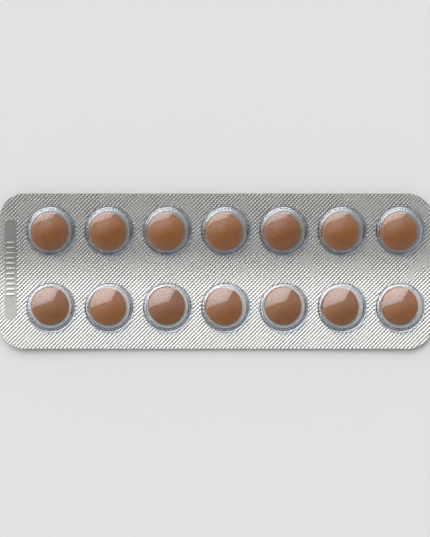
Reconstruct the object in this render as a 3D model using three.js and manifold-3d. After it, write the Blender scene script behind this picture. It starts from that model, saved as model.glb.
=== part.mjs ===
// A push-through blister pack: a clear formed film with two rows of round cavities, a heat-sealed aluminium
// foil underneath, and one round coated tablet lying loose in each cavity.
// Millimetres, +Z up. The pack lies foil down with its cavities up: X runs along the rows, +Y towards the back
// row, and the origin is under the middle of the sheet.

import * as THREE from 'three';
import { mergeVertices } from 'three/addons/utils/BufferGeometryUtils.js';
import Module from 'manifold-3d';

const wasm = await Module();
wasm.setup();
const degrees = THREE.MathUtils.degToRad;

// Tablet: two domed faces and a straight band between them, with a coat that rounds the faces into the band.
const tabletDiameter = 8.7;
const tabletThickness = 4.4;
const tabletBand = 1.5;
const coatRounding = 0.45;

// Cavity: a foot fillet, a drafted wall, a rounded shoulder and a shallow domed roof.
const sideClearance = 0.68;
const headClearance = 0.35;
const cavityWall = 0.2;
const wallDraft = degrees(6);
const shoulderRadius = 0.9;
const roofRadius = 15;
const footFillet = 0.4;

// Pattern of cavities: the land left between them, and the margins around them. The left margin takes a code strip.
const columns = 7;
const columnLand = 1.9;
const rowLand = 6.2;
const leftMargin = 6;
const rightMargin = 1.7;
const frontMargin = 3.7;
const backMargin = 2.9;
const cornerRadius = 5.6;

// Layers: the foil, the lacquer that seals it to the film, and the film itself.
const foilThickness = 0.05;
const sealCoat = 0.02;
const filmThickness = 0.25;

// Curl across the width: a flat keel between the rows, a short bend on either side of it, and two lifted halves.
const curlAngle = degrees(3.4);
const bendRun = 1.2;
const bendSteps = 2;
const bendToCavity = 0.3;

// Bow along the length: the middle columns lie flat and both ends lift a little.
const flatColumns = 3;
const endLift = degrees(1.1);

// The loose tablets have slid to one side. Headings are turned from +X, and the front row's lean both ways in turn.
const slideGap = 0.18;
const backHeading = degrees(200);
const frontHeading = degrees(142);
const frontSway = degrees(22);

// Facets
const roundSides = 24;
const cornerSides = 8;
const filletSides = 2;
const shoulderSides = 2;
const roofRings = 2;
const tabletRings = 2;

// Sizes that follow from the ones above
const tabletRadius = tabletDiameter / 2;
const filmBottom = foilThickness + sealCoat;
const filmTop = filmBottom + filmThickness;
const bellyRadius = tabletRadius + sideClearance;
const bellyHeight = filmBottom + tabletThickness / 2;
const slantWall = cavityWall / Math.cos(wallDraft);
const footRadius = bellyRadius + slantWall + (bellyHeight - filmTop) * Math.tan(wallDraft);
const flareRadius = footRadius + footFillet * (1 / Math.cos(wallDraft) - Math.tan(wallDraft));
const cavityDiameter = 2 * flareRadius;
const columnPitch = cavityDiameter + columnLand;
const rowPitch = cavityDiameter + rowLand;
const sheetLength = leftMargin + (columns - 1) * columnPitch + cavityDiameter + rightMargin;
const sheetWidth = frontMargin + rowPitch + cavityDiameter + backMargin;
const firstColumnX = -sheetLength / 2 + leftMargin + cavityDiameter / 2;
const keelY = -sheetWidth / 2 + frontMargin + cavityDiameter + rowLand / 2;
const keelHalf = rowLand / 2 - bendToCavity - bendRun;
const leftBend = firstColumnX + ((columns - flatColumns - 1) / 2) * columnPitch;
const rightBend = firstColumnX + ((columns + flatColumns - 1) / 2) * columnPitch;
const slide = bellyRadius * Math.cos(Math.PI / roundSides) - tabletRadius - slideGap;

// A closed solid for joining and cutting, from a geometry whose shared vertices are merged.
function solidOf(geometry) {
  const bare = new THREE.BufferGeometry();
  bare.setAttribute('position', geometry.getAttribute('position').clone());
  if (geometry.index) bare.setIndex(geometry.index.clone());
  const merged = mergeVertices(bare, 1e-4);
  const corners = merged.index.array;
  const triangles = [];
  for (let i = 0; i < corners.length; i += 3) {
    const [a, b, c] = corners.slice(i, i + 3);
    if (a !== b && b !== c && c !== a) triangles.push(a, b, c);
  }
  return new wasm.Manifold(new wasm.Mesh({
    numProp: 3,
    vertProperties: new Float32Array(merged.getAttribute('position').array),
    triVerts: new Uint32Array(triangles),
  }));
}

function geometryOf(solid) {
  const mesh = solid.getMesh();
  const geometry = new THREE.BufferGeometry();
  geometry.setAttribute('position', new THREE.BufferAttribute(mesh.vertProperties, 3));
  geometry.setIndex(new THREE.BufferAttribute(mesh.triVerts, 1));
  geometry.computeVertexNormals();
  return geometry;
}

// A profile of [radius, height] pairs turned about Z, listed from the bottom of the axis to its top.
function turned(profile) {
  const points = profile.map(([radius, height]) => new THREE.Vector2(radius, height));
  return new THREE.LatheGeometry(points, roundSides).rotateX(Math.PI / 2);
}

// The curl, seen along X: the flat sheet's underside as a line from the middle of the keel outwards. Each point
// holds its distance from the middle, its height, and the slope of the line that leads up to it.
function curlLine(reach) {
  const line = [{ out: 0, up: 0, slope: 0 }, { out: keelHalf, up: 0, slope: 0 }];
  const walk = (distance, slope) => {
    const last = line[line.length - 1];
    line.push({ out: last.out + distance, up: last.up + distance * Math.tan(slope), slope });
  };
  for (let i = 1; i <= bendSteps; i++) walk(bendRun / bendSteps, (curlAngle * i) / (bendSteps + 1));
  walk(reach - line[line.length - 1].out, curlAngle);
  return line;
}

// The same line raised by a height square to the sheet, mitred where the slope changes.
function raisedLine(reach, height) {
  const line = curlLine(reach);
  return line.map(({ out, up, slope }, i) => {
    const next = i + 1 < line.length ? line[i + 1].slope : slope;
    const mitre = (slope + next) / 2;
    const offset = height / Math.cos((next - slope) / 2);
    return [out - offset * Math.sin(mitre), up + offset * Math.cos(mitre)];
  });
}

// The outline of the sheet, a rectangle with rounded corners, as a prism taller than the pack.
function outlinePrism() {
  const x = sheetLength / 2 - cornerRadius;
  const y = sheetWidth / 2 - cornerRadius;
  const outline = new THREE.Shape();
  outline.absarc(x, y, cornerRadius, 0, Math.PI / 2);
  outline.absarc(-x, y, cornerRadius, Math.PI / 2, Math.PI);
  outline.absarc(-x, -y, cornerRadius, Math.PI, 1.5 * Math.PI);
  outline.absarc(x, -y, cornerRadius, 1.5 * Math.PI, 2 * Math.PI);
  const tall = 2 * sheetWidth;
  const prism = new THREE.ExtrudeGeometry(outline, { depth: tall, bevelEnabled: false, curveSegments: cornerSides });
  return solidOf(prism.translate(0, 0, -tall / 2));
}

// How far the bow lifts a point of the sheet.
function bowAt(x) {
  return Math.max(0, leftBend - x, x - rightBend) * Math.tan(endLift);
}

// One layer of the sheet between two heights: its curled section extruded along X in three runs, which meet at the
// bends of the bow, and cut to the outline.
function curledLayer(bottom, top) {
  const lower = raisedLine(sheetWidth, bottom);
  const upper = raisedLine(sheetWidth, top);
  const otherSide = (line) => line.slice(1).map(([out, up]) => [-out, up]).reverse();
  const loop = [...otherSide(lower), ...lower, ...[...otherSide(upper), ...upper].reverse()];
  const section = new THREE.Shape(loop.map(([out, up]) => new THREE.Vector2(keelY + out, up)));
  const stations = [-sheetLength / 2, leftBend, rightBend, sheetLength / 2];
  const runs = stations.length - 1;
  const layer = new THREE.ExtrudeGeometry(section, { depth: runs, steps: runs, bevelEnabled: false });
  // The section is drawn in X and Y and extruded along Z: the axes are cycled so that it lies in Y and Z, and each
  // step is moved to its station along X and lifted there.
  layer.rotateX(Math.PI / 2).rotateZ(Math.PI / 2);
  const points = layer.getAttribute('position');
  for (let i = 0; i < points.count; i++) {
    const x = stations[Math.round(points.getX(i))];
    points.setX(i, x);
    points.setZ(i, points.getZ(i) + bowAt(x));
  }
  return solidOf(layer).intersect(outlinePrism());
}

// A cavity's profile from its drafted wall over the shoulder to the top of the roof. The foot is given as its first
// points. The shoulder touches the wall and the roof: its centre is where lines offset from both of them meet.
function cavityProfile(wall, foot) {
  const draft = Math.tan(wallDraft);
  const roof = roofRadius + wall;
  const shoulder = shoulderRadius + wall;
  const roofCentre = filmBottom + tabletThickness + headClearance - roofRadius;
  const wallAtZero = bellyRadius + bellyHeight * draft + wall / Math.cos(wallDraft);
  const offsetAtZero = wallAtZero - shoulder / Math.cos(wallDraft);
  const a = 1 + draft ** 2;
  const b = offsetAtZero * draft + roofCentre;
  const c = offsetAtZero ** 2 + roofCentre ** 2 - (roof - shoulder) ** 2;
  const height = (b + Math.sqrt(b ** 2 - a * c)) / a;
  const radius = offsetAtZero - height * draft;
  const roofTurn = Math.atan2(radius, height - roofCentre);
  const profile = [...foot(wallAtZero)];
  for (let i = 0; i <= shoulderSides; i++) {
    const turn = THREE.MathUtils.lerp(wallDraft, Math.PI / 2 - roofTurn, i / shoulderSides);
    profile.push([radius + shoulder * Math.cos(turn), height + shoulder * Math.sin(turn)]);
  }
  for (let i = 1; i <= roofRings; i++) {
    const turn = roofTurn * (1 - i / roofRings);
    profile.push([roof * Math.sin(turn), roofCentre + roof * Math.cos(turn)]);
  }
  return profile;
}

// The outside of a cavity, rooted half way into the film, with its fillet at the foot.
const rootHeight = (filmBottom + filmTop) / 2;
const cavityOutside = turned(cavityProfile(cavityWall, () => {
  const foot = [[0, rootHeight], [flareRadius, rootHeight]];
  for (let i = 0; i <= filletSides; i++) {
    const turn = (i / filletSides) * (Math.PI / 2 - wallDraft);
    foot.push([flareRadius - footFillet * Math.sin(turn), filmTop + footFillet * (1 - Math.cos(turn))]);
  }
  return foot;
}));

// The hollow of a cavity, open through the underside of the film.
const openDepth = 1;
const cavityHollow = turned(cavityProfile(0, (wallAtZero) => [
  [0, -openDepth],
  [wallAtZero + openDepth * Math.tan(wallDraft), -openDepth],
]));

// Places of the cavities on the two lifted halves, the back row first and each row from the left. A place's lean
// follows the bow.
const places = [];
const bendEnd = curlLine(sheetWidth)[bendSteps + 1];
for (const side of [1, -1]) {
  for (let column = 0; column < columns; column++) {
    const x = firstColumnX + column * columnPitch;
    places.push({
      side,
      column,
      x,
      y: keelY + (side * rowPitch) / 2,
      z: bendEnd.up + (rowPitch / 2 - bendEnd.out) * Math.tan(curlAngle) + bowAt(x),
      tilt: side * curlAngle,
      lean: bowAt(x) ? -Math.sign(x) * endLift : 0,
    });
  }
}

function setAt(place, geometry) {
  return geometry.clone().rotateX(place.tilt).rotateY(place.lean).translate(place.x, place.y, place.z);
}

// The film: a curled layer with every cavity raised on it and then hollowed.
function formedFilm() {
  let film = curledLayer(filmBottom, filmTop);
  for (const place of places) film = film.add(solidOf(setAt(place, cavityOutside)));
  for (const place of places) film = film.subtract(solidOf(setAt(place, cavityHollow)));
  return geometryOf(film);
}

// A tablet standing on the lacquer of the foil. Each face is one arc from the rounding of the coat to the middle.
function tabletGeometry() {
  const faceEdge = tabletRadius - coatRounding;
  const faceRise = (tabletThickness - tabletBand - coatRounding) / 2;
  const faceRadius = (faceEdge ** 2 + faceRise ** 2) / (2 * faceRise);
  const faceTurn = Math.asin(faceEdge / faceRadius);
  const upper = [[tabletRadius, tabletBand / 2]];
  for (let i = 0; i <= tabletRings; i++) {
    const turn = faceTurn * (1 - i / tabletRings);
    upper.push([faceRadius * Math.sin(turn), tabletThickness / 2 - faceRadius * (1 - Math.cos(turn))]);
  }
  const lower = upper.map(([radius, height]) => [radius, -height]).reverse();
  return turned([...lower, ...upper]).translate(0, 0, bellyHeight);
}

const finishes = {
  film: new THREE.MeshStandardMaterial({
    color: 0xdfe6f0, roughness: 0.08, metalness: 0, transparent: true, opacity: 0.35,
  }),
  foil: new THREE.MeshStandardMaterial({ color: 0xc9c9c7, roughness: 0.35, metalness: 1 }),
  tablet: new THREE.MeshStandardMaterial({ color: 0x8a5a3d, roughness: 0.45, metalness: 0 }),
};

const pack = new THREE.Group();

function addPart(name, geometry, finish) {
  const mesh = new THREE.Mesh(geometry, finish);
  mesh.name = name;
  pack.add(mesh);
}

addPart('formed_film', formedFilm(), finishes.film);
addPart('lidding_foil', geometryOf(curledLayer(0, foilThickness)), finishes.foil);

const tablet = tabletGeometry();
places.forEach((place, i) => {
  const sway = place.column % 2 ? frontSway : -frontSway;
  const heading = place.side > 0 ? backHeading : frontHeading + sway;
  const slid = tablet.clone().translate(slide * Math.cos(heading), slide * Math.sin(heading), 0);
  addPart(`tablet_${String(i + 1).padStart(2, '0')}`, setAt(place, slid), finishes.tablet);
});

export default pack;
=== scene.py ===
"""The looks of a push-through blister pack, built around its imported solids.

Three pieces stand for the solids: a knurled foil, a clear formed film, and the coated tablets in its
cavities. A fourth is the row of plain bars in the foil's code strip.
Everything is in metres, in the frame of the solids: X along the rows, +Y towards the back row, +Z up.
"""

import math

import bmesh
import bpy
from bpy.props import FloatProperty, FloatVectorProperty, IntProperty, PointerProperty
from mathutils import Matrix, Vector
from mathutils.geometry import delaunay_2d_cdt


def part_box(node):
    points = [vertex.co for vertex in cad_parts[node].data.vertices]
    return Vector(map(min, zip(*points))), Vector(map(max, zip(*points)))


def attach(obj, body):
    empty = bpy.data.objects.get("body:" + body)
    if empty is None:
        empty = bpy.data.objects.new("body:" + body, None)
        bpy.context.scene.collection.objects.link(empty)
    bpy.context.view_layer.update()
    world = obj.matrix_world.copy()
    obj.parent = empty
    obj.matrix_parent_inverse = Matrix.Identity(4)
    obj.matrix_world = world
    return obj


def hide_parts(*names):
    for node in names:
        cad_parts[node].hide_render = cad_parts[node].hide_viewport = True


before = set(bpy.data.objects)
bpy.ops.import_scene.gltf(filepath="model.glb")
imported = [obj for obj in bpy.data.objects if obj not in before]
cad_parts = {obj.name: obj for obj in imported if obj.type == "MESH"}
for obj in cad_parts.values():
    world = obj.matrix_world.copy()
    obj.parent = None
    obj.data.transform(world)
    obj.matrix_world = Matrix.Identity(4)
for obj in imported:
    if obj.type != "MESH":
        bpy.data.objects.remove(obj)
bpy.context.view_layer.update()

bl_info = {
    "name": "Blister pack",
    "version": (1, 0, 0),
    "blender": (4, 5, 0),
    "location": "View3D > Sidebar > Blister pack",
    "description": "Makes the foil, film and tablets of a push-through blister pack, and a plain stage",
    "category": "Add Mesh",
}

MM = 0.001
BODY = "root"
FILM_NODE = "formed_film"
FOIL_NODE = "lidding_foil"
TABLET_NODES = sorted(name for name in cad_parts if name.startswith("tablet_"))


def length(name, description, millimetres):
    """A length property, given in millimetres."""
    return FloatProperty(
        name=name, description=description, default=millimetres * MM, unit="LENGTH", precision=5
    )


def angle(name, description, degrees):
    return FloatProperty(name=name, description=description, default=math.radians(degrees), unit="ROTATION")


def amount(name, description, value):
    return FloatProperty(name=name, description=description, default=value)


def colour(name, description, value):
    return FloatVectorProperty(
        name=name, description=description, default=value, subtype="COLOR", size=len(value), min=0, max=1
    )


class SheetSizes(bpy.types.PropertyGroup):
    """The sealed sheet: its outline, its margins, its curl and its bow."""

    corner_radius: length("Corner radius", "Rounding of the sheet's four corners", 5.6)
    left_margin: length("Left margin", "From the left edge to the first cavities, over the code strip", 6.0)
    front_margin: length("Front margin", "From the front edge to the front row", 3.7)
    column_land: length("Column land", "Sheet left between two cavities of a row", 1.9)
    row_land: length("Row land", "Sheet left between the two rows", 6.2)
    curl_angle: angle("Curl", "How far each half lifts off a table", 3.4)
    bend_run: length("Bend run", "How far the bend between the rows reaches to either side", 4.4)
    bow: length("Bow", "How far the left end of the sheet lifts off a table", 0.64)
    film_top: length("Film top", "From a table up to the upper side of the flat film", 0.32)


class CavitySizes(bpy.types.PropertyGroup):
    """One formed cavity of the film."""

    side_clearance: length("Side clearance", "Room around a tablet at its widest", 0.68)
    head_clearance: length("Head clearance", "Room over a tablet", 0.35)
    wall: length("Wall", "Thickness of the film where it is formed", 0.2)
    draft: angle("Draft", "Lean of the cavity's side", 6)
    shoulder_radius: length("Shoulder radius", "Inside rounding from the side to the roof", 0.9)
    roof_radius: length("Roof radius", "Inside radius of the domed roof", 18.5)
    foot_fillet: length("Foot fillet", "Rounding from the sheet to the cavity's side", 0.4)


class FoilSizes(bpy.types.PropertyGroup):
    """The knurled foil and its smooth strip for a stamped code."""

    gauge: length("Gauge", "Thickness of the foil", 0.02)
    smooth_level: length("Smooth level", "Height of the foil where it isn't sealed", 0.05)
    knurl_pitch: length("Knurl pitch", "From one ridge of the knurl to the next", 0.65)
    knurl_depth: length("Knurl depth", "Height of the knurl's peaks", 0.047)
    knurl_saddle: length("Knurl saddle", "Height of a ridge halfway between two of its peaks", 0.016)
    edge_run: length("Edge run", "How far the knurl takes to fade out at a cavity or at the strip", 0.1)
    strip_centre_x: length("Strip place", "From the left edge to the middle of the code strip", 2.42)
    strip_centre_y: length("Strip height", "From the sheet's middle up to the middle of the code strip", 0.45)
    strip_width: length("Strip width", "Width of the smooth code strip", 2.8)
    strip_length: length("Strip length", "Length of the smooth code strip", 23.3)
    bar_pitch: length("Bar pitch", "From one plain bar in the strip to the next", 1.2)
    bar_length: length("Bar length", "Length of a plain bar across the strip", 2.1)
    bar_width: length("Bar width", "Width of a plain bar", 0.66)
    bar_height: length("Bar height", "How far a plain bar stands off the foil", 0.024)
    bars: IntProperty(name="Bars", description="Number of plain bars in the strip", default=11)


class TabletSizes(bpy.types.PropertyGroup):
    """One coated tablet. Its diameter comes from the solids."""

    thickness: length("Thickness", "Thickness of a tablet at its middle", 4.4)
    foot: length("Foot", "From a table up to a tablet in the flat part of the sheet", 0.07)
    band: length("Band", "Height of the straight band round a tablet", 1.5)
    rounding: length("Rounding", "How far in the coat rounds each face", 0.45)


class Finishes(bpy.types.PropertyGroup):
    """Colours and gloss."""

    coat: colour("Tablet coat", "Colour of the tablets", (0.345, 0.107, 0.011))
    coat_dark: colour("Coat mottle", "Darker colour mottled into the coat", (0.193, 0.056, 0.005))
    coat_roughness: amount("Coat roughness", "Roughness of the tablet coat", 0.42)
    coat_spread: amount("Coat spread", "How far the roughness of the coat wanders either way", 0.06)
    foil: colour("Foil", "Colour of the bare aluminium", (0.78, 0.717, 0.624))
    foil_roughness: amount("Foil roughness", "Roughness of the foil", 0.27)
    foil_spread: amount("Foil spread", "How far the roughness of the foil wanders either way", 0.05)
    film_tint: colour("Film tint", "What a millimetre of film lets through", (0.66, 0.76, 0.92))
    film_ior: amount("Film refraction", "Refractive index of the film", 1.53)
    film_roughness: amount("Film roughness", "Roughness of the film", 0.02)
    film_pass: amount("Film pass", "Share of the light from below that goes straight through the film", 0.97)


class StageSizes(bpy.types.PropertyGroup):
    """The floor, the light and the camera."""

    floor_colour: colour("Floor colour", "Colour of the pale floor", (0.64, 0.64, 0.64))
    floor_width: FloatProperty(name="Floor width", description="Side of the floor", default=12, unit="LENGTH")
    softbox_radiance: amount("Softbox brightness", "Brightness of the softbox at its best; white is 1", 3.8)
    softbox_heading: angle("Softbox heading", "Direction that the softbox lies in, turned from +X", 135)
    softbox_lean: angle("Softbox lean", "How far the softbox's face is turned from straight down", 73)
    softbox_reach: amount("Softbox reach", "Side of the softbox for each metre of its distance", 1.7)
    corner_heading: angle("Corner heading", "Direction of the softbox's highest corner, turned from +X", 77)
    corner_drop: angle("Corner drop", "How far that corner lies from straight up", 15.2)
    softbox_roll: angle("Softbox roll", "How far the softbox is rolled about that corner", 44)
    front_share: amount("Front edge", "Brightness of the softbox's front edge, as a share of its best", 0.52)
    right_share: amount("Right edge", "Brightness of the softbox's right edge, as a share of its best", 0.75)
    front_run: amount("Front fade", "How far the fade reaches in from the front edge", 0.74)
    right_run: amount("Right fade", "How far the fade reaches in from the right edge", 0.52)
    front_blur: amount("Front blur", "Softness of the front edge itself", 0.05)
    right_blur: amount("Right blur", "Softness of the right edge itself", 0.03)
    low_share: amount("Low edge", "Brightness of the softbox near the floor, as a share of its best", 0.25)
    overhead: amount("Overhead", "Brightness of the surroundings overhead, where white is 1", 0.14)
    behind: amount("Behind", "Brightness of the surroundings overhead and behind", 0.62)
    around: amount("Around", "Brightness of the surroundings at the level of the floor", 1.0)
    backdrop: colour("Backdrop", "Colour that the camera sees past the floor", (0.745, 0.75, 0.75))
    camera_distance: FloatProperty(
        name="Camera distance", description="From the floor up to the camera", default=1.1, unit="LENGTH"
    )


class BlisterSettings(bpy.types.PropertyGroup):
    """All that a user would change."""

    sheet: PointerProperty(type=SheetSizes, name="Sheet", description="Sizes of the sheet")
    cavity: PointerProperty(type=CavitySizes, name="Cavity", description="Sizes of a cavity")
    foil: PointerProperty(type=FoilSizes, name="Foil", description="Sizes of the foil's knurl and strip")
    tablet: PointerProperty(type=TabletSizes, name="Tablet", description="Sizes of a tablet")
    finish: PointerProperty(type=Finishes, name="Finishes", description="Colours and gloss")
    stage: PointerProperty(type=StageSizes, name="Stage", description="Floor, light and camera")


# Facets of the visual pieces
CORNER_SIDES = 14
CAVITY_SIDES = 72
TABLET_SIDES = 64
BAR_SIDES = 16
STRIP_SIDES = 12
FILLET_STEPS = 5
SIDE_STEPS = 3
SHOULDER_STEPS = 8
ROOF_STEPS = 9
FACE_STEPS = 12
ROUNDING_STEPS = 8
SHEET_STEP = 1.25 * MM

# Edges sharper than these stay sharp
BAR_CREASE = math.radians(35)
FILM_CREASE = math.radians(40)

# Distances within which points are one, for each way of making a mesh
SCORE_WELD = 1e-8
FOIL_WELD = 1e-7
FILM_WELD = 1e-6
FILL_WELD = 1e-9

# Where the film meets the foil: just above the peaks of the knurl
LAYER_GAP = 0.01 * MM

# How far the mesh of a cavity reaches past its foot fillet
CUP_MARGIN = 0.1 * MM

# A bar: how far its base sinks into the foil, and its width half way up and at its top, as shares of its base
BAR_SINK = 0.005 * MM
BAR_WAIST = 0.8
BAR_TOP = 0.45

# Outward directions of the sheet's straight edges: back, left, front and right
SIDEWAYS = ((0, 1), (-1, 0), (0, -1), (1, 0))


class Layout:
    """Sizes and places that follow from the settings and from the solids."""

    def __init__(self, settings):
        sheet, cavity = settings.sheet, settings.cavity
        _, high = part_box(FOIL_NODE)
        self.half_length = high.x
        self.half_width = high.y
        tablet_low, tablet_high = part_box(TABLET_NODES[0])
        self.tablet_radius = (tablet_high.x - tablet_low.x) / 2
        self.tablet_thickness = settings.tablet.thickness
        self.tablet_foot = settings.tablet.foot
        self.film_top = sheet.film_top
        self.film_bottom = settings.foil.gauge + settings.foil.knurl_depth + LAYER_GAP
        self.belly_radius = self.tablet_radius + cavity.side_clearance
        self.belly_height = self.tablet_foot + self.tablet_thickness / 2
        foot = self.belly_radius + (self.belly_height - self.film_top) * math.tan(cavity.draft)
        lean = 1 / math.cos(cavity.draft) - math.tan(cavity.draft)
        self.cavity_radius = foot + cavity.wall / math.cos(cavity.draft) + cavity.foot_fillet * lean
        self.column_pitch = 2 * self.cavity_radius + sheet.column_land
        self.row_pitch = 2 * self.cavity_radius + sheet.row_land
        self.keel_y = -self.half_width + sheet.front_margin + 2 * self.cavity_radius + sheet.row_land / 2
        self.first_x = -self.half_length + sheet.left_margin + self.cavity_radius
        self.columns = len(TABLET_NODES) // 2
        self.bow_x = self.first_x + (self.columns - 1) / 2 * self.column_pitch
        self.bow_rate = 2 * sheet.bow / (self.half_length + self.bow_x) ** 2
        self.sheet = sheet

    def cavity_centres(self):
        rows = (self.keel_y + self.row_pitch / 2, self.keel_y - self.row_pitch / 2)
        columns = [self.first_x + i * self.column_pitch for i in range(self.columns)]
        return [Vector((x, y, 0)) for y in rows for x in columns]

    def bent(self, x, y):
        """How far the sheet lifts at a place, and its two slopes there, along X and along Y."""
        away = abs(y - self.keel_y)
        run, turn = self.sheet.bend_run, self.sheet.curl_angle
        share = min(away / run, 1)
        lift = math.tan(turn) * (away - run / 2 if share == 1 else away * share / 2)
        along = x - self.bow_x
        lift += self.bow_rate * along**2 / 2
        return lift, self.bow_rate * along, math.copysign(turn * share, y - self.keel_y)

    def curled(self, point):
        """Where a point of the flat sheet lies once the sheet has curled and bowed."""
        lift, along, across = self.bent(point.x, point.y)
        x = point.x - point.z * math.sin(along)
        y = point.y - point.z * math.sin(across)
        return Vector((x, y, lift + point.z * math.cos(across)))

    def outline(self):
        """The sheet's outline, counter-clockwise, with its straight edges in short steps."""
        radius = self.sheet.corner_radius
        x, y = self.half_length - radius, self.half_width - radius
        points = []
        for corner, (cx, cy) in enumerate(((x, y), (-x, y), (-x, -y), (x, -y))):
            for i in range(CORNER_SIDES):
                turn = (corner + i / CORNER_SIDES) * math.pi / 2
                points.append(Vector((cx + radius * math.cos(turn), cy + radius * math.sin(turn))))
            outward = Vector(SIDEWAYS[corner])
            start = Vector((cx, cy)) + radius * outward
            onward = Vector((-outward.y, outward.x))
            reach = 2 * (x if onward.x else y)
            steps = math.ceil(reach / SHEET_STEP)
            points += [start + onward * (reach * i / steps) for i in range(steps)]
        return points

    def loose_points(self, clearance):
        """Points spread over the sheet, clear of its edges and cavities, so that it can bend between them."""
        points = []
        centres = self.cavity_centres()
        rows, columns = int(2 * self.half_width / SHEET_STEP), int(2 * self.half_length / SHEET_STEP)
        for row in range(1, rows):
            y = self.half_width * (2 * row / rows - 1)
            for column in range(1, columns):
                point = Vector((self.half_length * (2 * (column + row % 2 / 2) / columns - 1), y))
                corner = Vector((abs(point.x) - self.half_length, abs(point.y) - self.half_width))
                corner += Vector((self.sheet.corner_radius, self.sheet.corner_radius))
                if min(corner) > 0 and corner.length > self.sheet.corner_radius - SHEET_STEP / 2:
                    continue
                if self.half_length - abs(point.x) < SHEET_STEP / 2:
                    continue
                if all((point - centre.xy).length > clearance for centre in centres):
                    points.append(point)
        return points


# Trees


class Wiring:
    """Adds nodes to one tree. An input is given a plain value or another node's output."""

    def __init__(self, tree):
        self.tree = tree

    def node(self, kind, inputs=None, **settings):
        node = self.tree.nodes.new(kind)
        for name, value in settings.items():
            setattr(node, name, value)
        for name, value in (inputs or {}).items():
            if isinstance(name, int):
                socket = node.inputs[name]
            else:
                socket = next(s for s in node.inputs if s.name == name and s.enabled)
            if isinstance(value, bpy.types.NodeSocket):
                self.tree.links.new(value, socket)
            else:
                socket.default_value = value
        return node

    def math(self, operation, *values):
        return self.node("ShaderNodeMath", dict(enumerate(values)), operation=operation).outputs[0]

    def vector(self, **parts):
        return self.node("ShaderNodeCombineXYZ", parts).outputs[0]

    def chance(self, **inputs):
        node = self.node("FunctionNodeRandomValue", inputs, data_type="FLOAT")
        return next(socket for socket in node.outputs if socket.enabled)

    def finish(self, geometry, material, end):
        """The end of a geometry tree: its copies made real and given their material."""
        real = self.node("GeometryNodeRealizeInstances", {0: geometry}).outputs[0]
        finished = self.node("GeometryNodeSetMaterial", {"Geometry": real, "Material": material})
        self.tree.links.new(finished.outputs[0], end.inputs[0])
        return self.tree

    def noise(self, vector, scale, detail):
        inputs = {"Vector": vector, "Scale": scale, "Detail": detail}
        return self.node("ShaderNodeTexNoise", inputs).outputs["Fac"]


def new_tree(kind, name, inputs, outputs):
    """A node group with sockets by name and kind. Gives its wiring, its named inputs and its output node."""
    tree = bpy.data.node_groups.new(name, kind)
    for in_out, sockets in (("INPUT", inputs), ("OUTPUT", outputs)):
        for socket_name, socket_kind in sockets.items():
            socket_type = "NodeSocket" + socket_kind
            tree.interface.new_socket(name=socket_name, in_out=in_out, socket_type=socket_type)
    wiring = Wiring(tree)
    start = wiring.node("NodeGroupInput")
    return wiring, {s.name: s for s in start.outputs if s.name}, wiring.node("NodeGroupOutput")


def grown(name, base, tree, values):
    """The plain mesh object that a geometry tree makes from a base mesh."""
    source = bpy.data.objects.new(name, base)
    bpy.context.scene.collection.objects.link(source)
    modifier = source.modifiers.new(tree.name, "NODES")
    modifier.node_group = tree
    for item in tree.interface.items_tree:
        if item.in_out == "INPUT" and item.name in values:
            modifier[item.identifier] = values[item.name]
    graph = bpy.context.evaluated_depsgraph_get()
    mesh = bpy.data.meshes.new_from_object(source.evaluated_get(graph))
    bpy.data.objects.remove(source)
    return placed(name, mesh)


def placed(name, mesh):
    mesh.name = name
    piece = bpy.data.objects.new(name, mesh)
    bpy.context.scene.collection.objects.link(piece)
    return piece


def mesh_of(name, build, *sizes):
    """A mesh filled by a function that takes an empty bmesh and the sizes."""
    form = bmesh.new()
    build(form, *sizes)
    mesh = bpy.data.meshes.new(name)
    form.to_mesh(mesh)
    form.free()
    return mesh


def points_mesh(name, points):
    mesh = bpy.data.meshes.new(name)
    mesh.from_pydata([tuple(point) for point in points], [], [])
    return mesh


def curl_mesh(mesh, layout):
    for vertex in mesh.vertices:
        vertex.co = layout.curled(vertex.co)


def repeat_tree():
    """A geometry tree that sets a piece on every point, leant as the sheet is there and turned by chance."""
    wiring, given, end = new_tree(
        "GeometryNodeTree",
        "Set in rows",
        {
            "Geometry": "Geometry",
            "Piece": "Object",
            "Keel": "Float",
            "Lean": "Float",
            "Bow rate": "Float",
            "Bow middle": "Float",
            "Turn": "Float",
            "Seed": "Int",
            "Material": "Material",
        },
        {"Geometry": "Geometry"},
    )
    place = wiring.node("ShaderNodeSeparateXYZ", {0: wiring.node("GeometryNodeInputPosition").outputs[0]})
    side = wiring.math("SIGN", wiring.math("SUBTRACT", place.outputs["Y"], given["Keel"]))
    turn = wiring.chance(Min=0.0, Max=given["Turn"], Seed=given["Seed"])
    across = wiring.math("MULTIPLY", side, given["Lean"])
    past = wiring.math("SUBTRACT", given["Bow middle"], place.outputs["X"])
    along = wiring.math("MULTIPLY", past, given["Bow rate"])
    leant = wiring.vector(X=across, Y=along)
    piece = wiring.node("GeometryNodeObjectInfo", {"Object": given["Piece"]})
    copies = wiring.node(
        "GeometryNodeInstanceOnPoints",
        {"Points": given["Geometry"], "Instance": piece.outputs["Geometry"], "Rotation": leant},
    )
    turned = wiring.node(
        "GeometryNodeRotateInstances", {"Instances": copies.outputs[0], "Rotation": wiring.vector(Z=turn)}
    )
    toned = wiring.node(
        "GeometryNodeStoreNamedAttribute",
        {"Geometry": turned.outputs[0], "Name": "tone", "Value": wiring.chance(Seed=given["Seed"])},
        data_type="FLOAT",
        domain="INSTANCE",
    )
    return wiring.finish(toned.outputs[0], given["Material"], end)


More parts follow.
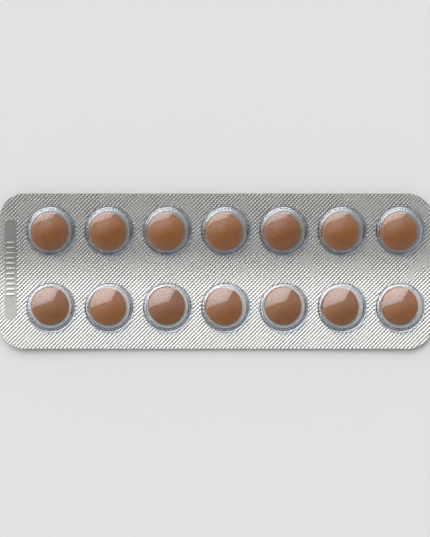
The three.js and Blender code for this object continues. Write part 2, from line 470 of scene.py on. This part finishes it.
def knurl_tree():
    """A geometry tree that presses a knurl into a flat lattice, away from the cavities and the code strip."""
    wiring, given, end = new_tree(
        "GeometryNodeTree",
        "Knurled foil",
        {
            "Geometry": "Geometry",
            "Cavities": "Object",
            "Smooth radius": "Float",
            "Strip": "Vector",
            "Strip radius": "Float",
            "Strip reach": "Float",
            "Pitch": "Float",
            "Depth": "Float",
            "Saddle": "Float",
            "Gauge": "Float",
            "Smooth level": "Float",
            "Edge run": "Float",
            "Material": "Material",
        },
        {"Geometry": "Geometry"},
    )
    do = wiring.math
    place = wiring.node("ShaderNodeSeparateXYZ", {0: wiring.node("GeometryNodeInputPosition").outputs[0]})
    x, y = place.outputs["X"], place.outputs["Y"]
    centres = wiring.node("GeometryNodeObjectInfo", {"Object": given["Cavities"]})
    near = wiring.node("GeometryNodeProximity", {0: centres.outputs["Geometry"]}, target_element="POINTS")
    strip = wiring.node("ShaderNodeSeparateXYZ", {0: given["Strip"]})
    across = do("SUBTRACT", x, strip.outputs["X"])
    along = do("ABSOLUTE", do("SUBTRACT", y, strip.outputs["Y"]))
    along = do("MAXIMUM", do("SUBTRACT", along, given["Strip reach"]), 0.0)
    from_strip = do("SQRT", do("ADD", do("MULTIPLY", across, across), do("MULTIPLY", along, along)))

    def outside(distance, radius):
        share = do("DIVIDE", do("SUBTRACT", distance, radius), given["Edge run"])
        return do("MINIMUM", do("MAXIMUM", share, 0.0), 1.0)

    sealed = do(
        "MINIMUM",
        outside(near.outputs["Distance"], given["Smooth radius"]),
        outside(from_strip, given["Strip radius"]),
    )
    half_pitch = do("MULTIPLY", given["Pitch"], 0.5)

    def ridges(distance):
        return do("DIVIDE", do("PINGPONG", do("MULTIPLY", distance, math.sqrt(0.5)), half_pitch), half_pitch)

    crest = do("MULTIPLY", ridges(do("ADD", x, y)), do("SUBTRACT", given["Depth"], given["Saddle"]))
    knurled = do("MULTIPLY", ridges(do("SUBTRACT", y, x)), do("ADD", given["Saddle"], crest))
    knurled = do("ADD", given["Gauge"], knurled)
    change = do("MULTIPLY", sealed, do("SUBTRACT", knurled, given["Smooth level"]))
    offset = wiring.vector(Z=do("ADD", given["Smooth level"], change))
    pressed = wiring.node("GeometryNodeSetPosition", {"Geometry": given["Geometry"], "Offset": offset})
    top = wiring.node("GeometryNodeTriangulate", {"Mesh": pressed.outputs[0]}, quad_method="LONGEST_DIAGONAL")
    down = wiring.vector(Z=do("MULTIPLY", given["Gauge"], -1.0))
    walls = wiring.node(
        "GeometryNodeExtrudeMesh",
        {"Mesh": top.outputs[0], "Offset": down, "Offset Scale": 1.0, "Individual": False},
    )
    under = wiring.node("GeometryNodeFlipFaces", {"Mesh": walls.outputs["Mesh"]})
    both = wiring.node("GeometryNodeJoinGeometry")
    for part in (top.outputs[0], under.outputs[0]):
        wiring.tree.links.new(part, both.inputs[0])
    joined = wiring.node("GeometryNodeMergeByDistance", {"Geometry": both.outputs[0], "Distance": FOIL_WELD})
    return wiring.finish(joined.outputs[0], given["Material"], end)


# Finishes


def new_material(name):
    material = bpy.data.materials.new(name)
    material.use_nodes = True
    material.node_tree.nodes.clear()
    wiring = Wiring(material.node_tree)
    surface = wiring.node("ShaderNodeBsdfPrincipled")
    output = wiring.node("ShaderNodeOutputMaterial", {"Surface": surface.outputs[0]})
    return material, wiring, surface, output


def grain_group():
    """A shader group for fine grain: a soft mottle, a fine speckle, a roughness and a bump."""
    made = bpy.data.node_groups.get("Fine grain")
    if made:
        return made
    wiring, given, end = new_tree(
        "ShaderNodeTree",
        "Fine grain",
        {
            "Vector": "Vector",
            "Mottle scale": "Float",
            "Speckle scale": "Float",
            "Bump height": "Float",
            "Low": "Float",
            "High": "Float",
        },
        {"Mottle": "Float", "Speckle": "Float", "Roughness": "Float", "Normal": "Vector"},
    )
    mottle = wiring.noise(given["Vector"], given["Mottle scale"], 3.0)
    speckle = wiring.noise(given["Vector"], given["Speckle scale"], 2.0)
    span = wiring.math("SUBTRACT", given["High"], given["Low"])
    roughness = wiring.math("ADD", given["Low"], wiring.math("MULTIPLY", mottle, span))
    relief = {"Height": speckle, "Distance": given["Bump height"], "Strength": 1.0}
    bump = wiring.node("ShaderNodeBump", relief)
    results = {"Mottle": mottle, "Speckle": speckle, "Roughness": roughness, "Normal": bump.outputs[0]}
    for name, value in results.items():
        wiring.tree.links.new(value, end.inputs[name])
    return wiring.tree


def grain(wiring, surface, values):
    """Gives a surface the roughness and the bump of the grain group, in the piece's Object coordinates."""
    node = wiring.node("ShaderNodeGroup", node_tree=grain_group())
    place = wiring.node("ShaderNodeTexCoord")
    wiring.tree.links.new(place.outputs["Object"], node.inputs["Vector"])
    for name, value in values.items():
        node.inputs[name].default_value = value
    for name in ("Roughness", "Normal"):
        wiring.tree.links.new(node.outputs[name], surface.inputs[name])
    return node


def foil_material(finish):
    """Bare aluminium with a faintly uneven gloss."""
    material, wiring, surface, _ = new_material("lidding_foil")
    grain(
        wiring,
        surface,
        {
            "Mottle scale": 250.0,
            "Speckle scale": 4000.0,
            "Bump height": 0.000004,
            "Low": finish.foil_roughness - finish.foil_spread,
            "High": finish.foil_roughness + finish.foil_spread,
        },
    )
    surface.inputs["Base Color"].default_value = (*finish.foil, 1)
    surface.inputs["Metallic"].default_value = 1
    return material


# What darkens the coat: its mottle, its speckle and a tablet's own tone, above a level
COAT_MOTTLE = 0.8
COAT_SPECKLE = 1.6
COAT_TONE = 0.3
COAT_LEVEL = 0.85


def coat_material(finish):
    """A smooth satin coat, faintly mottled and speckled, with a slightly different tone on each tablet."""
    material, wiring, surface, _ = new_material("tablet_coat")
    fine = grain(
        wiring,
        surface,
        {
            "Mottle scale": 700.0,
            "Speckle scale": 6000.0,
            "Bump height": 0.00002,
            "Low": finish.coat_roughness - finish.coat_spread,
            "High": finish.coat_roughness + finish.coat_spread,
        },
    )
    tone = wiring.node("ShaderNodeAttribute", attribute_name="tone")
    speckle = wiring.math("MULTIPLY", fine.outputs["Speckle"], COAT_SPECKLE)
    mottled = wiring.math("ADD", wiring.math("MULTIPLY", fine.outputs["Mottle"], COAT_MOTTLE), speckle)
    share = wiring.math("ADD", mottled, wiring.math("MULTIPLY", tone.outputs["Fac"], COAT_TONE))
    blend = wiring.node(
        "ShaderNodeMix",
        {0: wiring.math("SUBTRACT", share, COAT_LEVEL), 6: (*finish.coat, 1), 7: (*finish.coat_dark, 1)},
        data_type="RGBA",
    )
    wiring.tree.links.new(blend.outputs[2], surface.inputs["Base Color"])
    return material


# The film's absorption is written as a density above its strongest rate, so that no colour reaches 0
DENSITY_MARGIN = 1.25


def film_material(finish):
    """Clear film. Light that comes off what lies under it passes straight out, and isn't lost in the film."""
    material, wiring, surface, output = new_material("clear_film")
    surface.inputs["Base Color"].default_value = (1, 1, 1, 1)
    surface.inputs["Roughness"].default_value = finish.film_roughness
    surface.inputs["IOR"].default_value = finish.film_ior
    surface.inputs["Transmission Weight"].default_value = 1
    path = wiring.node("ShaderNodeLightPath").outputs
    backfacing = wiring.node("ShaderNodeNewGeometry").outputs["Backfacing"]
    do = wiring.math
    entered = do("MINIMUM", do("ADD", do("SUBTRACT", 1.0, backfacing), path["Transparent Depth"]), 1.0)
    returned = do("MULTIPLY", path["Is Glossy Ray"], do("SUBTRACT", 1.0, path["Is Transmission Ray"]))
    straight = do("MULTIPLY", returned, entered)
    for kind in ("Is Shadow Ray", "Is Diffuse Ray"):
        straight = do("MAXIMUM", straight, path[kind])
    clear = wiring.node("ShaderNodeBsdfTransparent", {"Color": (*(finish.film_pass,) * 3, 1)})
    mix = wiring.node("ShaderNodeMixShader", {0: straight, 1: surface.outputs[0], 2: clear.outputs[0]})
    wiring.tree.links.new(mix.outputs[0], output.inputs["Surface"])
    per_metre = [-math.log(share) / MM for share in finish.film_tint]
    density = max(per_metre) * DENSITY_MARGIN
    dimming = wiring.node(
        "ShaderNodeVolumeAbsorption",
        {"Color": (*(1 - rate / density for rate in per_metre), 1), "Density": density},
    )
    wiring.tree.links.new(dimming.outputs[0], output.inputs["Volume"])
    return material


def floor_material(stage):
    material, _, surface, _ = new_material("pale_floor")
    surface.inputs["Base Color"].default_value = (*stage.floor_colour, 1)
    surface.inputs["Roughness"].default_value = 0.9
    surface.inputs["Specular IOR Level"].default_value = 0.1
    return material


# Foil


def lattice(form, layout, foil):
    """A flat lattice at 45 degrees, cut to the sheet's outline and scored along the code strip's."""
    step = foil.knurl_pitch / 2
    reach = (layout.half_length + layout.half_width) * math.sqrt(0.5)
    cells = 2 * math.ceil(reach / step)
    turn = Matrix.Rotation(math.pi / 4, 4, "Z")
    bmesh.ops.create_grid(form, x_segments=cells, y_segments=cells, size=cells * step / 2, matrix=turn)

    def score(point, outward, clear):
        everything = form.verts[:] + form.edges[:] + form.faces[:]
        bmesh.ops.bisect_plane(
            form,
            geom=everything,
            dist=SCORE_WELD,
            plane_co=(*point, 0),
            plane_no=(*outward, 0),
            clear_outer=clear,
        )

    for outward in (Vector((1, 0)), Vector((-1, 0)), Vector((0, 1)), Vector((0, -1))):
        score((outward.x * layout.half_length, outward.y * layout.half_width), outward, True)
    points = layout.outline()
    for a, b in zip(points, points[1:] + points[:1]):
        along = b - a
        if min(abs(along.x), abs(along.y)) > FOIL_WELD:
            score(a, (along.y, -along.x), True)
    strip, reach, radius = strip_shape(layout, foil)
    for i in range(STRIP_SIDES):
        turn = 2 * math.pi * (i + 0.5) / STRIP_SIDES
        outward = Vector((math.cos(turn), math.sin(turn)))
        end = strip + Vector((0, math.copysign(reach, outward.y)))
        score(end + outward * radius, outward, False)
    for outward in (Vector((1, 0)), Vector((-1, 0))):
        score(strip + outward * radius, outward, False)
    bmesh.ops.recalc_face_normals(form, faces=form.faces)
    if form.faces[:][0].normal.z < 0:
        bmesh.ops.reverse_faces(form, faces=form.faces)


def strip_shape(layout, foil):
    """The code strip: its middle, how far its straight part reaches from there, and its half width."""
    centre = Vector((-layout.half_length + foil.strip_centre_x, foil.strip_centre_y))
    radius = foil.strip_width / 2
    return centre, foil.strip_length / 2 - radius, radius


def make_foil(settings):
    layout, foil = Layout(settings), settings.foil
    strip, reach, radius = strip_shape(layout, foil)
    centres = placed("cavity_centres", points_mesh("cavity_centres", layout.cavity_centres()))
    piece = grown(
        "knurled_foil",
        mesh_of("lattice", lattice, layout, foil),
        knurl_tree(),
        {
            "Cavities": centres,
            "Smooth radius": layout.cavity_radius,
            "Strip": (strip.x, strip.y, 0),
            "Strip radius": radius,
            "Strip reach": reach,
            "Pitch": foil.knurl_pitch,
            "Depth": foil.knurl_depth,
            "Saddle": foil.knurl_saddle,
            "Gauge": foil.gauge,
            "Smooth level": foil.smooth_level,
            "Edge run": foil.edge_run,
            "Material": foil_material(settings.finish),
        },
    )
    bpy.data.objects.remove(centres)
    curl_mesh(piece.data, layout)
    piece.data.shade_flat()
    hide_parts(FOIL_NODE)
    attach(piece, BODY)


def bar_blank(form, foil):
    """A low bar with sloping sides and rounded ends, across the strip."""
    half, width = (foil.bar_length - foil.bar_width) / 2, foil.bar_width / 2
    rings = []
    for share, height in ((1.0, -BAR_SINK), (BAR_WAIST, foil.bar_height / 2), (BAR_TOP, foil.bar_height)):
        ring = []
        for i in range(BAR_SIDES):
            turn = 2 * math.pi * (i + 0.5) / BAR_SIDES
            x = math.copysign(half, math.cos(turn)) + width * share * math.cos(turn)
            ring.append(form.verts.new((x, width * share * math.sin(turn), height)))
        rings.append(ring)
    skin(form, rings)
    form.faces.new(rings[-1])
    form.faces.new(list(reversed(rings[0])))


def skin(form, rings):
    """Faces between closed rings of as many points, the first ring lowest."""
    for lower, upper in zip(rings, rings[1:]):
        count = len(lower)
        for i in range(count):
            j = (i + 1) % count
            form.faces.new((lower[i], lower[j], upper[j], upper[i]))


def make_bars(settings):
    layout, foil = Layout(settings), settings.foil
    strip, _, _ = strip_shape(layout, foil)
    blank = placed("bar_blank", mesh_of("bar_blank", bar_blank, foil))
    first = -(foil.bars - 1) / 2
    heights = [strip.y + (first + i) * foil.bar_pitch for i in range(foil.bars)]
    places = points_mesh("bar_places", [(strip.x, y, foil.smooth_level) for y in heights])
    material = bpy.data.materials["lidding_foil"]
    piece = grown("strip_bars", places, repeat_tree(), {"Piece": blank, "Material": material})
    bpy.data.objects.remove(blank)
    curl_mesh(piece.data, layout)
    piece.data.shade_smooth()
    piece.data.set_sharp_from_angle(angle=BAR_CREASE)
    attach(piece, BODY)


# Film


def arc(centre, radius, start, end, steps):
    """Points [radius, height] of an arc in a turned profile, from one angle to the other."""
    turns = [start + (end - start) * i / steps for i in range(steps + 1)]
    return [(centre[0] + radius * math.cos(turn), centre[1] + radius * math.sin(turn)) for turn in turns]


def line(start, end, steps):
    """Points [radius, height] of a straight line in a turned profile, from its start and short of its end."""
    shares = [i / steps for i in range(steps)]
    return [tuple(s + (e - s) * share for s, e in zip(start, end)) for share in shares]


def cavity_profile(layout, cavity, wall):
    """A cavity grown outwards by a wall: its side's radius at height 0, its shoulder and roof, its top."""
    slope = math.tan(cavity.draft)
    roof, shoulder = cavity.roof_radius + wall, cavity.shoulder_radius + wall
    roof_centre = layout.tablet_foot + layout.tablet_thickness + cavity.head_clearance - cavity.roof_radius
    side_at_zero = layout.belly_radius + layout.belly_height * slope + wall / math.cos(cavity.draft)
    offset = side_at_zero - shoulder / math.cos(cavity.draft)
    a = 1 + slope**2
    b = offset * slope + roof_centre
    c = offset**2 + roof_centre**2 - (roof - shoulder) ** 2
    height = (b + math.sqrt(b**2 - a * c)) / a
    centre = (offset - height * slope, height)
    meet = math.atan2(centre[1] - roof_centre, centre[0])
    points = arc(centre, shoulder, cavity.draft, meet, SHOULDER_STEPS)
    points += arc((0, roof_centre), roof, meet, math.pi / 2, ROOF_STEPS)[1:-1]
    return side_at_zero, points, roof_centre + roof


def turned_rings(form, profile, sides):
    rings = []
    for radius, height in profile:
        turns = [2 * math.pi * i / sides for i in range(sides)]
        rings.append([form.verts.new((radius * math.cos(t), radius * math.sin(t), height)) for t in turns])
    return rings


def close_pole(form, ring, height):
    pole = form.verts.new((0, 0, height))
    for i, vertex in enumerate(ring):
        form.faces.new((vertex, ring[(i + 1) % len(ring)], pole))


def film_rings(layout, cavity):
    """Radii at which a cavity's outer and inner skins leave the flat film."""
    slope = math.tan(cavity.draft)
    hole = layout.belly_radius + (layout.belly_height - layout.film_bottom) * slope
    return layout.cavity_radius + CUP_MARGIN, hole


def cup_blank(form, layout, cavity):
    """Both skins of one cavity, from the flat film over its foot, side and shoulder to its roof."""
    slope = math.tan(cavity.draft)
    support, hole = film_rings(layout, cavity)
    outer_zero, outer, outer_top = cavity_profile(layout, cavity, cavity.wall)
    foot_height = layout.film_top + cavity.foot_fillet
    foot = outer_zero - foot_height * slope + cavity.foot_fillet / math.cos(cavity.draft), foot_height
    fillet_end = math.pi + cavity.draft
    fillet = arc(foot, cavity.foot_fillet, 1.5 * math.pi, fillet_end, FILLET_STEPS)
    side = line(fillet[-1], outer[0], SIDE_STEPS)[1:]
    rings = turned_rings(form, [(support, layout.film_top), *fillet, *side, *outer], CAVITY_SIDES)
    skin(form, rings)
    close_pole(form, rings[-1], outer_top)
    _, inner, inner_top = cavity_profile(layout, cavity, 0)
    inner_side = line((hole, layout.film_bottom), inner[0], SIDE_STEPS)
    inner_rings = turned_rings(form, [*inner_side, *inner], CAVITY_SIDES)
    skin(form, inner_rings)
    close_pole(form, inner_rings[-1], inner_top)


def flat_skin(form, layout, height, hole_radius):
    """One flat side of the film with a round hole for every cavity."""
    outline = layout.outline()
    points = list(outline)
    edges = [(i, (i + 1) % len(outline)) for i in range(len(outline))]
    holes = layout.cavity_centres()
    for centre in holes:
        first = len(points)
        for i in range(CAVITY_SIDES):
            turn = 2 * math.pi * i / CAVITY_SIDES
            points.append(centre.xy + hole_radius * Vector((math.cos(turn), math.sin(turn))))
            edges.append((first + i, first + (i + 1) % CAVITY_SIDES))
    points += layout.loose_points(hole_radius + SHEET_STEP / 3)
    flat, _, faces, _, _, _ = delaunay_2d_cdt(points, edges, [list(range(len(outline)))], 1, FILL_WELD)
    vertices = [form.verts.new((point.x, point.y, height)) for point in flat]
    for face in faces:
        middle = sum((flat[i] for i in face), Vector((0, 0))) / len(face)
        if all((middle - centre.xy).length > hole_radius for centre in holes):
            form.faces.new([vertices[i] for i in face])
    for vertex in [v for v in vertices if not v.link_faces]:
        form.verts.remove(vertex)


def film_form(form, layout, cavity, cups):
    """The whole film: both flat sides, the rim between them and the cavities, merged into one closed skin."""
    support, hole = film_rings(layout, cavity)
    flat_skin(form, layout, layout.film_top, support)
    flat_skin(form, layout, layout.film_bottom, hole)
    outline = layout.outline()
    sides = (layout.film_bottom, layout.film_top)
    rim = [[form.verts.new((*point, height)) for point in outline] for height in sides]
    skin(form, rim)
    form.from_mesh(cups)
    bmesh.ops.remove_doubles(form, verts=form.verts, dist=FILM_WELD)
    bmesh.ops.recalc_face_normals(form, faces=form.faces)
    if form.calc_volume(signed=True) < 0:
        bmesh.ops.reverse_faces(form, faces=form.faces)


def make_film(settings):
    layout, cavity = Layout(settings), settings.cavity
    material = film_material(settings.finish)
    blank = placed("cup_blank", mesh_of("cup_blank", cup_blank, layout, cavity))
    centres = points_mesh("cavity_centres", layout.cavity_centres())
    cups = grown("cups", centres, repeat_tree(), {"Piece": blank, "Material": material})
    bpy.data.objects.remove(blank)
    piece = placed("clear_film", mesh_of("clear_film", film_form, layout, cavity, cups.data))
    bpy.data.objects.remove(cups)
    piece.data.materials.append(material)
    curl_mesh(piece.data, layout)
    piece.data.shade_smooth()
    piece.data.set_sharp_from_angle(angle=FILM_CREASE)
    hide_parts(FILM_NODE)
    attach(piece, BODY)


# Tablets


def tablet_blank(form, layout, tablet):
    """A tablet about its own middle: a domed face, the coat's rounding and a band, and the same below."""
    radius, half = layout.tablet_radius, layout.tablet_thickness / 2
    edge = radius - tablet.rounding
    rise = half - tablet.band / 2 - tablet.rounding / 2
    face_radius = (edge**2 + rise**2) / (2 * rise)
    turn = math.asin(edge / face_radius)
    face = arc((0, half - face_radius), face_radius, math.pi / 2, math.pi / 2 - turn, FACE_STEPS)[1:]
    start, end = face[-1], (radius, tablet.band / 2)
    corner = (radius, start[1] - (radius - start[0]) * math.tan(turn))
    rounding = []
    for i in range(1, ROUNDING_STEPS + 1):
        t = i / ROUNDING_STEPS
        rounding.append(
            tuple((1 - t) ** 2 * s + 2 * t * (1 - t) * c + t**2 * e for s, c, e in zip(start, corner, end))
        )
    upper = face + rounding
    lower = [(r, -z) for r, z in upper]
    rings = turned_rings(form, lower + upper[::-1], TABLET_SIDES)
    skin(form, rings)
    close_pole(form, rings[-1], half)
    close_pole(form, rings[0][::-1], -half)


def make_tablets(settings):
    layout = Layout(settings)
    blank = placed("tablet_blank", mesh_of("tablet_blank", tablet_blank, layout, settings.tablet))
    blank.data.shade_smooth()
    middles = [sum(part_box(name), Vector()) / 2 for name in TABLET_NODES]
    for middle in middles:
        middle.z = layout.bent(middle.x, middle.y)[0] + layout.belly_height
    piece = grown(
        "coated_tablets",
        points_mesh("tablet_places", middles),
        repeat_tree(),
        {
            "Piece": blank,
            "Keel": layout.keel_y,
            "Lean": settings.sheet.curl_angle,
            "Bow rate": layout.bow_rate,
            "Bow middle": layout.bow_x,
            "Turn": 2 * math.pi,
            "Seed": 7,
            "Material": coat_material(settings.finish),
        },
    )
    bpy.data.objects.remove(blank)
    piece.data.shade_smooth()
    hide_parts(*TABLET_NODES)
    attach(piece, BODY)


# Stage

# The photograph's frame, in its own pixels: its size, the pack's middle in it, and its scale
FRAME_PIXELS = (430, 537)
PACK_MIDDLE_PIXELS = (216.0, 271.05)
PIXELS_PER_MM = 4.304

# The longer side of the camera's sensor, in millimetres
SENSOR = 36.0

# How far the floor lies below the pack, and its facets along a side
FLOOR_DROP = 0.02 * MM
FLOOR_CELLS = 8

# Fades of the surroundings, each from its start to its end as the sine of the height above the floor: the
# softbox dims towards the floor, and the surroundings at the level of the floor give way to those overhead
LOW_FADE = (0.42, 0.8)
AROUND_FADE = (0.3, 0.97)

# The brighter surroundings overhead lie towards this heading, and blend into the others this far either way
BEHIND_HEADING = math.radians(110)
BEHIND_BLEND = 0.16

# Softness of the softbox's far edges and of where rays turn away from it, and the least that a ray counts as
# towards it, so that nothing is divided by 0
FAR_BLUR = 0.1
AWAY_BLUR = 0.01
LEAST_AHEAD = 0.001


def make_floor(settings):
    side = settings.stage.floor_width / 2
    cells = {"x_segments": FLOOR_CELLS, "y_segments": FLOOR_CELLS}
    mesh = mesh_of("floor", lambda form: bmesh.ops.create_grid(form, size=side, **cells))
    floor = placed("floor", mesh)
    floor.location.z = -FLOOR_DROP
    mesh.materials.append(floor_material(settings.stage))


def direction(heading, drop):
    """A unit vector at a heading turned from +X and at an angle dropped from straight up."""
    return Vector((math.sin(drop) * math.cos(heading), math.sin(drop) * math.sin(heading), math.cos(drop)))


def make_world(stage):
    """A large far softbox behind and to the left, grey surroundings, and a pale backdrop for the camera."""
    world = bpy.data.worlds.new("surroundings")
    bpy.context.scene.world = world
    world.use_nodes = True
    world.node_tree.nodes.clear()
    wiring = Wiring(world.node_tree)
    do = wiring.math
    facing = direction(stage.softbox_heading, stage.softbox_lean)
    corner = direction(stage.corner_heading, stage.corner_drop)
    corner /= corner.dot(facing)
    level = facing.cross(Vector((0, 0, 1))).normalized()
    steep = level.cross(facing).normalized()
    roll = stage.softbox_roll
    from_front = math.sin(roll) * level - math.cos(roll) * steep
    from_right = -math.cos(roll) * level - math.sin(roll) * steep
    ray = wiring.node("ShaderNodeTexCoord").outputs["Generated"]

    def along(axis):
        product = wiring.node("ShaderNodeVectorMath", {0: ray, 1: tuple(axis)}, operation="DOT_PRODUCT")
        return product.outputs["Value"]

    def ramp(value, start, end, low, high):
        ends = {"Value": value, "From Min": start, "From Max": end, "To Min": low, "To Max": high}
        return wiring.node("ShaderNodeMapRange", ends).outputs["Result"]

    ahead = do("MAXIMUM", along(facing), LEAST_AHEAD)
    glow = ramp(along(facing), 0.0, AWAY_BLUR, 0.0, stage.softbox_radiance)
    reach = stage.softbox_reach
    for axis, share, run, blur in (
        (from_front, stage.front_share, stage.front_run, stage.front_blur),
        (from_right, stage.right_share, stage.right_run, stage.right_blur),
    ):
        inwards = do("SUBTRACT", do("DIVIDE", along(axis), ahead), corner.dot(axis))
        glow = do("MULTIPLY", glow, ramp(inwards, 0.0, run, share, 1.0))
        glow = do("MULTIPLY", glow, ramp(inwards, -blur, blur, 0.0, 1.0))
        glow = do("MULTIPLY", glow, ramp(inwards, reach, reach + FAR_BLUR, 1.0, 0.0))
    height = along((0, 0, 1))
    glow = do("MULTIPLY", glow, ramp(height, *LOW_FADE, stage.low_share, 1.0))
    backwards = along(direction(BEHIND_HEADING, math.pi / 2))
    above = ramp(backwards, -BEHIND_BLEND, BEHIND_BLEND, stage.overhead, stage.behind)
    room = ramp(height, *AROUND_FADE, stage.around, above)
    light = wiring.node("ShaderNodeBackground", {"Color": (1, 1, 1, 1), "Strength": do("ADD", glow, room)})
    pale = wiring.node("ShaderNodeBackground", {"Color": (*stage.backdrop, 1), "Strength": 1.0})
    seen = wiring.node("ShaderNodeLightPath").outputs["Is Camera Ray"]
    mix = wiring.node("ShaderNodeMixShader", {0: seen, 1: light.outputs[0], 2: pale.outputs[0]})
    wiring.node("ShaderNodeOutputWorld", {"Surface": mix.outputs[0]})


def make_camera(stage):
    """A long lens straight above the pack, framed as the photograph is."""
    camera = bpy.data.cameras.new("camera")
    camera.sensor_width = SENSOR
    frame_height = FRAME_PIXELS[1] / PIXELS_PER_MM * MM
    camera.lens = SENSOR * stage.camera_distance / frame_height
    camera.clip_start = 0.01
    camera.clip_end = 100
    holder = bpy.data.objects.new("camera", camera)
    right = (FRAME_PIXELS[0] / 2 - PACK_MIDDLE_PIXELS[0]) / PIXELS_PER_MM * MM
    up = (PACK_MIDDLE_PIXELS[1] - FRAME_PIXELS[1] / 2) / PIXELS_PER_MM * MM
    holder.location = (right, up, stage.camera_distance)
    bpy.context.scene.collection.objects.link(holder)
    bpy.context.scene.camera = holder


# Operators


class BLISTER_OT_foil(bpy.types.Operator):
    """Add the knurled foil with its smooth code strip"""

    bl_idname = "blister.foil"
    bl_label = "Lidding foil"

    def execute(self, context):
        make_foil(context.scene.blister)
        return {"FINISHED"}


class BLISTER_OT_bars(bpy.types.Operator):
    """Add the plain bars in the code strip of a foil that is already there"""

    bl_idname = "blister.bars"
    bl_label = "Strip bars"

    def execute(self, context):
        make_bars(context.scene.blister)
        return {"FINISHED"}


class BLISTER_OT_tablets(bpy.types.Operator):
    """Add the coated tablets where the solids have them"""

    bl_idname = "blister.tablets"
    bl_label = "Tablets"

    def execute(self, context):
        make_tablets(context.scene.blister)
        return {"FINISHED"}


class BLISTER_OT_film(bpy.types.Operator):
    """Add the clear film with its formed cavities"""

    bl_idname = "blister.film"
    bl_label = "Formed film"

    def execute(self, context):
        make_film(context.scene.blister)
        return {"FINISHED"}


class BLISTER_OT_stage(bpy.types.Operator):
    """Add the floor, the softbox, the surroundings and the camera"""

    bl_idname = "blister.stage"
    bl_label = "Stage"

    def execute(self, context):
        make_floor(context.scene.blister)
        make_world(context.scene.blister.stage)
        make_camera(context.scene.blister.stage)
        context.scene.view_settings.view_transform = "Standard"
        return {"FINISHED"}


class BLISTER_PT_panel(bpy.types.Panel):
    """Lists the pieces of the blister pack"""

    bl_idname = "BLISTER_PT_panel"
    bl_label = "Blister pack"
    bl_space_type = "VIEW_3D"
    bl_region_type = "UI"
    bl_category = "Blister pack"

    def draw(self, context):
        for operator in OPERATORS:
            self.layout.operator(operator.bl_idname)
        for group in context.scene.blister.bl_rna.properties:
            if group.type == "POINTER" and group.identifier != "rna_type":
                box = self.layout.box()
                box.label(text=group.name)
                settings = getattr(context.scene.blister, group.identifier)
                for setting in settings.bl_rna.properties:
                    if setting.identifier not in ("rna_type", "name"):
                        box.prop(settings, setting.identifier)


OPERATORS = (BLISTER_OT_stage, BLISTER_OT_foil, BLISTER_OT_bars, BLISTER_OT_tablets, BLISTER_OT_film)
CLASSES = (
    SheetSizes,
    CavitySizes,
    FoilSizes,
    TabletSizes,
    Finishes,
    StageSizes,
    BlisterSettings,
    *OPERATORS,
    BLISTER_PT_panel,
)


def register():
    for item in CLASSES:
        bpy.utils.register_class(item)
    bpy.types.Scene.blister = PointerProperty(
        type=BlisterSettings, name="Blister pack", description="Sizes, finishes and stage of the blister pack"
    )


def unregister():
    del bpy.types.Scene.blister
    for item in reversed(CLASSES):
        bpy.utils.unregister_class(item)


def main():
    register()
    bpy.ops.blister.stage()
    bpy.ops.blister.foil()
    bpy.ops.blister.bars()
    bpy.ops.blister.tablets()
    bpy.ops.blister.film()


if __name__ == "__main__":
    main()
